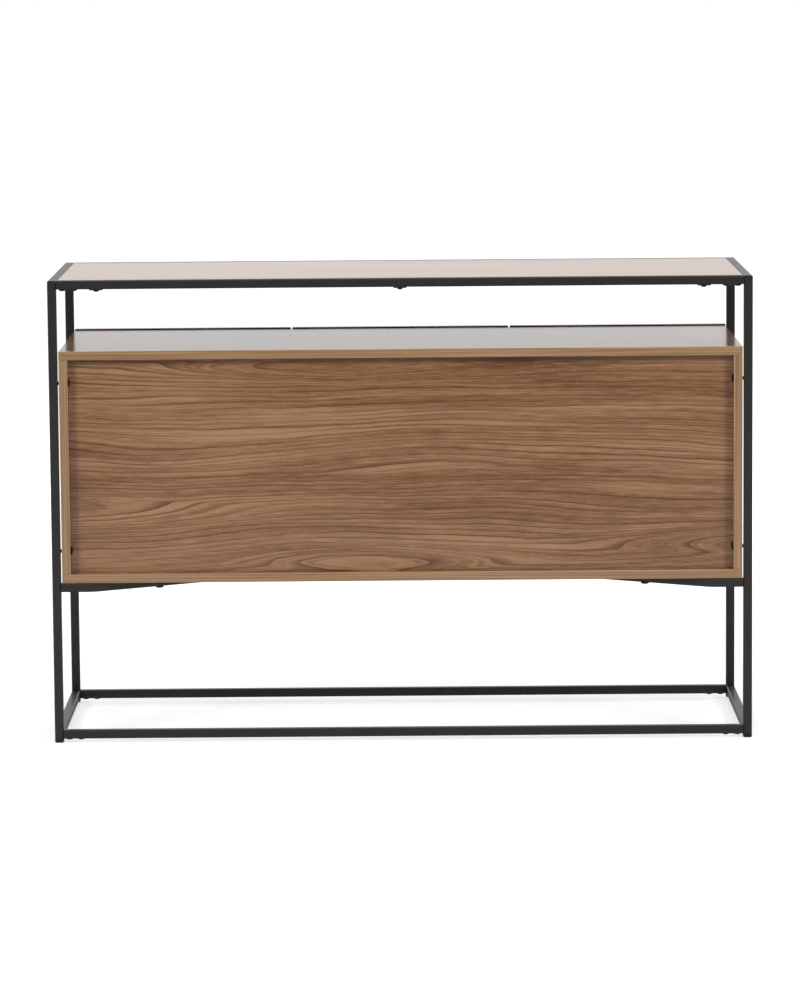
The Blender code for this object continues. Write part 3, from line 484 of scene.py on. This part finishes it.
RINGS_PER_METRE = 116.0
WALNUT_DARK = srgb("#694018")
WALNUT_PALE = srgb("#A27B58")
LATE_WOOD = srgb("#532700")
BAND_DARK = srgb("#7F5E43")
BAND_PALE = srgb("#A88660")
# The next colour is a painted highlight for the arrises, not a colour of the laminate.
ARRIS_PAINTED_HIGHLIGHT = srgb("#C0A58A")

# Eyes of the figure on the back panel: place along and height over the floor, half length and half
# height, all in metres, and the rings that it rises by, or falls by where that is negative.
BACK_EYES = (
    (0.07, 0.639, 0.50, 0.030, 3.6),
    (0.03, 0.317, 0.34, 0.030, -3.2),
    (0.60, 0.391, 0.46, 0.036, 3.0),
    (-0.60, 0.345, 0.38, 0.030, -3.2),
    (0.00, 0.447, 0.40, 0.055, 1.0),
    (0.00, 0.503, 0.40, 0.055, -1.0),
)

# Each board's grain, the way its printed faces look, and where along and across the sheet it is cut.
WALNUT_BOARDS = (
    ("top_panel", "X", "Z", (0.3, 1.7)),
    ("cabinet_top", "X", "Z", (2.1, 0.4)),
    ("cabinet_bottom", "X", "Z", (4.4, 2.9)),
    ("cabinet_side_left", "Z", "X", (0.0, 0.7)),
    ("cabinet_side_right", "Z", "X", (1.9, 1.3)),
    ("divider_left", "Z", "X", (3.1, 2.4)),
    ("divider_right", "Z", "X", (4.7, 3.6)),
    ("shelf_left", "X", "Z", (5.2, 3.1)),
    ("shelf_middle", "X", "Z", (6.3, 3.8)),
    ("shelf_right", "X", "Z", (7.6, 4.3)),
    ("back_panel", "X", "Y", (6.0, 5.0)),
)


def drawn_out(tree, x, y, x_scale, y_scale, detail):
    """Noise with its own scale along each direction, centred on 0."""
    x = add(tree, "ShaderNodeMath", [x, x_scale], operation="MULTIPLY")
    y = add(tree, "ShaderNodeMath", [y, y_scale], operation="MULTIPLY")
    place = add(tree, "ShaderNodeCombineXYZ", [x, y])
    noise = add(tree, "ShaderNodeTexNoise", {"Vector": place, "Scale": 1.0, "Detail": detail})
    return add(tree, "ShaderNodeMath", [noise, 0.5], operation="SUBTRACT")


def growth_rings(tree, along, across, spot, eyes):
    """The number of rings up to a place on the sheet: its whole part names the ring."""
    # 8.6 mm a ring. They wander over stretches of 0.6 by 0.2 m, and a little over 110 by 25 mm.
    rings = add(tree, "ShaderNodeMath", [across, RINGS_PER_METRE], operation="MULTIPLY")
    wander = drawn_out(tree, along, across, 1.6, 5.5, 1.0)
    rings = add(tree, "ShaderNodeMath", [wander, 8.0, rings], operation="MULTIPLY_ADD")
    ripple = drawn_out(tree, along, across, 9.0, 40.0, 2.0)
    rings = add(tree, "ShaderNodeMath", [ripple, 0.7, rings], operation="MULTIPLY_ADD")

    # Round an eye the rings close in long parabolas, like the arches of a flat-sawn board.
    for eye_along, eye_across, half_length, half_height, rise in eyes:
        near = add(tree, "ShaderNodeMapping", {
            "Vector": spot,
            "Location": (eye_along, eye_across, 0),
            "Scale": (half_length, half_height, 1),
        }, vector_type="TEXTURE")
        near = add(tree, "ShaderNodeSeparateXYZ", [near]).outputs
        far = add(tree, "ShaderNodeMath", [near["X"]], operation="ABSOLUTE")
        far = add(tree, "ShaderNodeMath", [near["Y"], near["Y"], far], operation="MULTIPLY_ADD")
        lift = add(tree, "ShaderNodeMapRange", [far, 0.0, 1.0, rise, 0.0], interpolation_type="SMOOTHSTEP")
        rings = add(tree, "ShaderNodeMath", [rings, lift], operation="ADD")

    sway = drawn_out(tree, along, rings, 2.0, 0.21, 1.0)
    return add(tree, "ShaderNodeMath", [sway, 3.0, rings], operation="MULTIPLY_ADD")


def late_wood(tree, along, rings):
    """How dark the ring lines are, from 0 to 0.9."""
    # The dark line starts sharply and fades over half of the ring, and some rings are stronger.
    ring = add(tree, "ShaderNodeMath", [rings], operation="FLOOR")
    within = add(tree, "ShaderNodeMath", [rings], operation="FRACT")
    fading = add(tree, "ShaderNodeMapRange", [within, 0.02, 0.55, 1.0, 0.0], interpolation_type="SMOOTHSTEP")
    start = add(tree, "ShaderNodeMapRange", [within, 0.0, 0.05, 0.0, 1.0], interpolation_type="SMOOTHSTEP")
    line = add(tree, "ShaderNodeMath", [fading, start], operation="MULTIPLY")
    strength = drawn_out(tree, along, ring, 2.4, 7.3, 1.0)
    strength = add(
        tree, "ShaderNodeMapRange", [strength, -0.2, 0.18, 0.3, 1.0],
        interpolation_type="SMOOTHSTEP",
    )
    line = add(tree, "ShaderNodeMath", [line, strength], operation="MULTIPLY")
    line = add(tree, "ShaderNodeMath", [line, 0.9], operation="MULTIPLY")

    # Between the lines there are finer ones, 3.2 mm apart and half as dark, which come and go.
    count = add(tree, "ShaderNodeMath", [rings, 2.7], operation="MULTIPLY")
    wave = drawn_out(tree, along, rings, 3.0, 1.1, 1.0)
    fine = add(tree, "ShaderNodeMath", [wave, 2.0, count], operation="MULTIPLY_ADD")
    fine = add(tree, "ShaderNodeMath", [fine], operation="FRACT")
    fine = add(tree, "ShaderNodeMapRange", [fine, 0.0, 0.7, 1.0, 0.0], interpolation_type="SMOOTHSTEP")
    shown = drawn_out(tree, along, rings, 5.0, 1.9, 1.0)
    shown = add(tree, "ShaderNodeMapRange", [shown, -0.1, 0.15, 0.0, 1.0], interpolation_type="SMOOTHSTEP")
    fine = add(tree, "ShaderNodeMath", [fine, shown], operation="MULTIPLY")
    fine = add(tree, "ShaderNodeMath", [fine, 0.5], operation="MULTIPLY")
    return add(tree, "ShaderNodeMath", [line, fine], operation="MAXIMUM")


def walnut_laminate(name, grain, outlook, cut, eyes=()):
    """Printed walnut under a satin overlay, with its edge band. The eye sees brown bands and dark ring
    lines along the grain, fine fibre, and a soft veil of light at low angles. The arrises carry a
    painted highlight: a paler colour that stands in for the light they catch."""
    material, tree = blank_material(name)
    coords = add(tree, "ShaderNodeTexCoord").outputs

    # Along the grain and across it. Across is the sum of the two other directions, so that the
    # figure carries on round an edge.
    upright = {"X": 0.0, "Z": math.pi / 2}[grain]
    turned = add(tree, "ShaderNodeMapping", {"Vector": coords["Object"], "Rotation": (0, upright, 0)})
    turned = add(tree, "ShaderNodeSeparateXYZ", [turned]).outputs
    across = add(tree, "ShaderNodeMath", [turned["Y"], turned["Z"]], operation="ADD")
    spot = add(tree, "ShaderNodeCombineXYZ", [turned["X"], across])
    along = add(tree, "ShaderNodeMath", [turned["X"], cut[0]], operation="ADD")
    across = add(tree, "ShaderNodeMath", [across, cut[1]], operation="ADD")
    rings = growth_rings(tree, along, across, spot, eyes)

    # Broad bands of 50 mm, streaks of 14 mm, fibre of 1.6 by 38 mm and pores of 0.8 by 4 mm. Real
    # fibre and pores are about 0.3 mm wide, and are drawn coarser so that they show.
    bands = drawn_out(tree, along, rings, 1.3, 0.16, 2.0)
    streaks = drawn_out(tree, along, rings, 3.0, 0.6, 3.0)
    fibre = drawn_out(tree, along, across, 26.0, 620.0, 3.0)
    pores = drawn_out(tree, along, across, 260.0, 1300.0, 1.0)
    tone = 0.62
    for layer, weight in ((bands, 1.5), (streaks, 1.7), (fibre, 1.8), (pores, 1.0)):
        tone = add(tree, "ShaderNodeMath", [layer, weight, tone], operation="MULTIPLY_ADD")
    body = add(tree, "ShaderNodeMix", [tone, WALNUT_DARK, WALNUT_PALE], data_type="RGBA")
    dark = late_wood(tree, along, rings)
    figure = add(tree, "ShaderNodeMix", [dark, body, LATE_WOOD], data_type="RGBA")

    # The edge band has a straight grain of 2.4 mm, which runs round the board's four edges.
    face = "XYZ".index(outlook)
    plain = add(tree, "ShaderNodeSeparateXYZ", [coords["Object"]]).outputs
    first, second = (plain[axis] for axis in range(3) if axis != face)
    run = add(tree, "ShaderNodeMath", [first, second], operation="ADD")
    run = add(tree, "ShaderNodeMath", [run, cut[0]], operation="ADD")
    band_tone = drawn_out(tree, run, plain[face], 3.0, 420.0, 2.0)
    band_tone = add(tree, "ShaderNodeMath", [band_tone, 2.6, 0.5], operation="MULTIPLY_ADD")
    band = add(tree, "ShaderNodeMix", [band_tone, BAND_DARK, BAND_PALE], data_type="RGBA")

    # What looks along the printed faces' direction is figure, what looks aside is band, and what
    # looks halfway, at about 45 degrees, is the arris, which gets a painted highlight.
    normal = add(tree, "ShaderNodeSeparateXYZ", [coords["Normal"]]).outputs
    facing = add(tree, "ShaderNodeMath", [normal[face]], operation="ABSOLUTE")
    printed = add(tree, "ShaderNodeMath", [facing, 0.85], operation="GREATER_THAN")
    skin = add(tree, "ShaderNodeMix", [printed, band, figure], data_type="RGBA")
    halfway = add(tree, "ShaderNodeMath", [facing, 0.7], operation="SUBTRACT")
    halfway = add(tree, "ShaderNodeMath", [halfway], operation="ABSOLUTE")
    arris = add(tree, "ShaderNodeMath", [halfway, 0.1], operation="LESS_THAN")
    # Painted highlight: the arris colour is mixed 60 percent towards a pale colour, standing in for light
    # caught on the edge.
    arris_highlight_share = add(tree, "ShaderNodeMath", [arris, 0.6], operation="MULTIPLY")
    finished = add(tree, "ShaderNodeMix", [arris_highlight_share, skin, ARRIS_PAINTED_HIGHLIGHT], data_type="RGBA")

    # The gloss is the overlay's, as a coat. The print under it hardly shines.
    rough = add(tree, "ShaderNodeMapRange", [streaks, -0.2, 0.2, 0.42, 0.52])
    bump = add(tree, "ShaderNodeBump", {"Height": fibre, "Strength": 0.1, "Distance": 0.0001})
    shader = add(tree, "ShaderNodeBsdfPrincipled", {
        "Base Color": finished,
        "Roughness": rough,
        "IOR": 1.5,
        "Specular IOR Level": 0.2,
        "Coat Weight": 1.0,
        "Coat Roughness": 0.17,
        "Coat IOR": 1.5,
        "Normal": bump,
    })
    add(tree, "ShaderNodeOutputMaterial", {"Surface": shader})
    return material


# On the back panel across is height plus the panel's own place along Y.
back_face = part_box("back_panel")[1].y
back_eyes = [(along, height + back_face, *rest) for along, height, *rest in BACK_EYES]
for name, grain, outlook, cut in WALNUT_BOARDS:
    eyes = back_eyes if name == "back_panel" else ()
    dress([name], walnut_laminate("walnut_laminate_" + name, grain, outlook, cut, eyes))


# Doors.
# Three slab doors of 15 mm particle board, faced with a black laminate that has an upright wood grain
# pressed into it, and closed all round with a glued black band. They carry no handles.

# The grain's lines and bands are counted per metre along X, Y and Z. A face whose normal has less
# than FACE_TURN along Y is an edge.
DOORS = ("left", "middle", "right")
DOOR_GRAIN = (420.0, 420.0, 9.0)
DOOR_BANDS = (70.0, 70.0, 1.6)
BAND_WAVES_PER_METRE = 90.0
FACE_TURN = 0.8


def black_laminate():
    """Black laminate pressed against a grained plate. The eye sees satin and matt lines that run up
    the door, 2.4 mm wide and some 110 mm long, in bands of 14 mm."""
    material, tree = blank_material("black_wood_grain_laminate")
    place = add(tree, "ShaderNodeTexCoord").outputs["Object"]
    narrow = add(tree, "ShaderNodeMapping", {"Vector": place, "Scale": DOOR_GRAIN})
    grain = add(tree, "ShaderNodeTexNoise", {"Vector": narrow, "Scale": 1.0, "Detail": 4.0})
    broad = add(tree, "ShaderNodeMapping", {"Vector": place, "Scale": DOOR_BANDS})
    bands = add(tree, "ShaderNodeTexNoise", {"Vector": broad, "Scale": 1.0, "Detail": 2.0})
    mixed = add(tree, "ShaderNodeMix", [0.4, grain, bands])
    line = add(tree, "ShaderNodeMapRange", [mixed, 0.38, 0.62])
    colour = add(tree, "ShaderNodeMix", [line, srgb("#141313"), srgb("#2C2A29")], data_type="RGBA")
    rough = add(tree, "ShaderNodeMapRange", [line, 0.0, 1.0, 0.34, 0.56])
    bump = add(tree, "ShaderNodeBump", {"Height": line, "Strength": 0.5, "Distance": 0.0002})
    shader = add(tree, "ShaderNodeBsdfPrincipled", {
        "Base Color": colour,
        "Roughness": rough,
        "IOR": 1.45,
        "Normal": bump,
    })
    add(tree, "ShaderNodeOutputMaterial", {"Surface": shader})
    return material


def black_edge_band():
    """Black ABS edge band of 1 mm, extruded smooth and glued on hot. The eye sees a thin bright line
    along the top of each door, with faint waves of 11 mm."""
    material, tree = blank_material("black_abs_edge_band")
    place = add(tree, "ShaderNodeTexCoord").outputs["Object"]
    waves = add(tree, "ShaderNodeTexNoise", {"Vector": place, "Scale": BAND_WAVES_PER_METRE, "Detail": 2.0})
    colour = add(tree, "ShaderNodeMix", [waves, srgb("#1B1A1A"), srgb("#232222")], data_type="RGBA")
    rough = add(tree, "ShaderNodeMapRange", [waves, 0.0, 1.0, 0.16, 0.24])
    bump = add(tree, "ShaderNodeBump", {"Height": waves, "Strength": 0.2, "Distance": 0.0001})
    shader = add(tree, "ShaderNodeBsdfPrincipled", {
        "Base Color": colour,
        "Roughness": rough,
        "IOR": 1.52,
        "Normal": bump,
    })
    add(tree, "ShaderNodeOutputMaterial", {"Surface": shader})
    return material


door_laminate = black_laminate()
door_band = black_edge_band()
for word in DOORS:
    dress(["door_" + word], door_laminate)
    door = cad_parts["door_" + word].data
    door.materials.append(door_band)
    for polygon in door.polygons:
        if abs(polygon.normal.y) < FACE_TURN:
            polygon.material_index = 1


# Hinges.
# Nickel-plated pressed-steel cup hinges. Two cross-head screws hold each winged plate to its board,
# and two in the ears hold each cup in its door and swing with it.

# Each door, and the way along X from its hinged side to its middle.
HINGED_SIDES = (("left", 1), ("middle", 1), ("right", -1))
WING_THICKNESS = 0.002
WING_SCREW_INSET = 0.015
WING_SCREW_STEP = 0.018
EAR_OFFSET = 0.0055
EAR_SCREW_STEP = 0.0245

nickel = satin_metal("nickel_plated_steel", "#C9C4BC", 0.28)
HINGE_SCREW = {
    "Head Radius": 0.0037, "Head Height": 0.0013, "Dome": 0.8,
    "Drive Radius": 0.0021, "Drive Depth": 0.0007, "Cross": True,
    "Seed": 11, "Finish": nickel,
}

wing_points = []
wing_facings = []
ear_points = {word: [] for word in DOORS}
for word, way in HINGED_SIDES:
    for place in ("lower", "upper"):
        cup = "hinge_cup_" + word + "_" + place
        arm = "hinge_arm_" + word + "_" + place
        dress([cup, arm], nickel)
        low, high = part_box(arm)
        wing = low.x + WING_THICKNESS if way > 0 else high.x - WING_THICKNESS
        height = (low.z + high.z) / 2
        for step in (-WING_SCREW_STEP, WING_SCREW_STEP):
            wing_points.append((wing, high.y - WING_SCREW_INSET, height + step))
            wing_facings.append((way, 0, 0))
        low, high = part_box(cup)
        ear = (low.x + high.x) / 2 + way * EAR_OFFSET
        for step in (-EAR_SCREW_STEP, EAR_SCREW_STEP):
            ear_points[word].append((ear, high.y, height + step))

wing_screws = grown("hinge_wing_screws", wing_points, wing_facings, screw_heads, HINGE_SCREW)
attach(wing_screws, "carcass")
for word, points in ear_points.items():
    ear_facings = [(0, 1, 0)] * len(points)
    ear_screws = grown("hinge_cup_screws_" + word, points, ear_facings, screw_heads, HINGE_SCREW)
    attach(ear_screws, word + "_door")


# Touch latches.
# A black ABS body with a grey acetal plunger that a spring holds out against the door. Two screws
# through its ears hold each latch up under the cabinet's top.

LATCH_SCREW_SETBACK = 0.019
LATCH_SCREW_STEP = 0.013
LATCH_EAR_THICKNESS = 0.003
LATCH_SCREW = {**HINGE_SCREW, "Seed": 17}

latch_black = moulded_plastic("black_abs", "#181818", "#222222", 0.42)
plunger_grey = moulded_plastic("grey_acetal", "#8E8E8B", "#9A9A97", 0.38)
latch_points = []
for word in DOORS:
    dress(["latch_body_" + word], latch_black)
    dress(["latch_plunger_" + word], plunger_grey)
    low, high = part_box("latch_body_" + word)
    for step in (-LATCH_SCREW_STEP, LATCH_SCREW_STEP):
        place = (low.x + high.x) / 2 + step
        latch_points.append((place, low.y + LATCH_SCREW_SETBACK, high.z - LATCH_EAR_THICKNESS))
latch_facings = [(0, 0, -1)] * len(latch_points)
latch_screws = grown("latch_screws", latch_points, latch_facings, screw_heads, LATCH_SCREW)
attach(latch_screws, "carcass")


# Cam locks and shelf bushes.
# Die-cast zinc cams of 15 mm, let in flush near the ends of the uprights, draw the boards together.
# The shelves' steel pegs stand in nickel bushes, with spare bushes 32 mm above and below them.

# The faces inside the bays from left to right: the board, and the way that the face looks along X.
BAY_FACES = (
    ("cabinet_side_left", 1), ("divider_left", -1), ("divider_left", 1),
    ("divider_right", -1), ("divider_right", 1), ("cabinet_side_right", -1),
)
CAM_PLACES = (-0.100, 0.150)
CAM_INSET = 0.034
PEG_SETBACK = 0.050
PEG_STEP = 0.032
PEG_REACH = 0.008
PEG_RADIUS = 0.0025
SEAT_GAP = 0.0003

zinc = satin_metal("die_cast_zinc", "#A9A9A6", 0.45)
CAM = {
    "Head Radius": 0.0075, "Head Height": 0.0006, "Dome": 0.25,
    "Drive Radius": 0.0034, "Drive Depth": 0.0004, "Cross": True,
    "Seed": 23, "Finish": zinc,
}
BUSH = {
    "Head Radius": 0.0037, "Head Height": 0.0008, "Dome": 0.5,
    "Drive Radius": 0.0025, "Drive Depth": 0.0006, "Cross": False,
    "Seed": 29, "Finish": nickel,
}

cam_heights = (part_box("cabinet_bottom")[1].z + CAM_INSET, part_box("cabinet_top")[0].z - CAM_INSET)
peg_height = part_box("shelf_left")[0].z - SEAT_GAP - PEG_RADIUS
peg_places = (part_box("cabinet_side_left")[0].y + PEG_SETBACK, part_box("back_panel")[0].y - PEG_SETBACK)
spare_heights = (peg_height - PEG_STEP, peg_height + PEG_STEP)
for name in ("cabinet_side_left", "cabinet_side_right", "divider_left", "divider_right"):
    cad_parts[name].data.materials.append(nickel)

cam_points = []
cam_facings = []
bush_points = []
bush_facings = []
for name, way in BAY_FACES:
    low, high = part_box(name)
    face = high.x - PEG_REACH if way > 0 else low.x + PEG_REACH

    # Cams show on the faces that look to the middle of the cabinet, and bushes on every face.
    if face * way < 0:
        spots = [(face, place, height) for place in CAM_PLACES for height in cam_heights]
        cam_points += spots
        cam_facings += [(way, 0, 0)] * len(spots)
    spots = [(face, place, height) for place in peg_places for height in spare_heights]
    bush_points += spots
    bush_facings += [(way, 0, 0)] * len(spots)

    # The pegs are part of the boards' nodes: what stands proud of the face there is nickel too.
    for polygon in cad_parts[name].data.polygons:
        proud = (polygon.center.x - face) * way > SEAT_GAP
        if proud and abs(polygon.center.z - peg_height) < PEG_RADIUS:
            polygon.material_index = 1

cams = grown("cam_locks", cam_points, cam_facings, screw_heads, CAM)
bushes = grown("shelf_bushes", bush_points, bush_facings, screw_heads, BUSH)
for piece in (cams, bushes):
    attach(piece, "carcass")


# The sizes before and after dressing.

size = {"cad": cad_box, "visual": [list(corner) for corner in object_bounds()]}
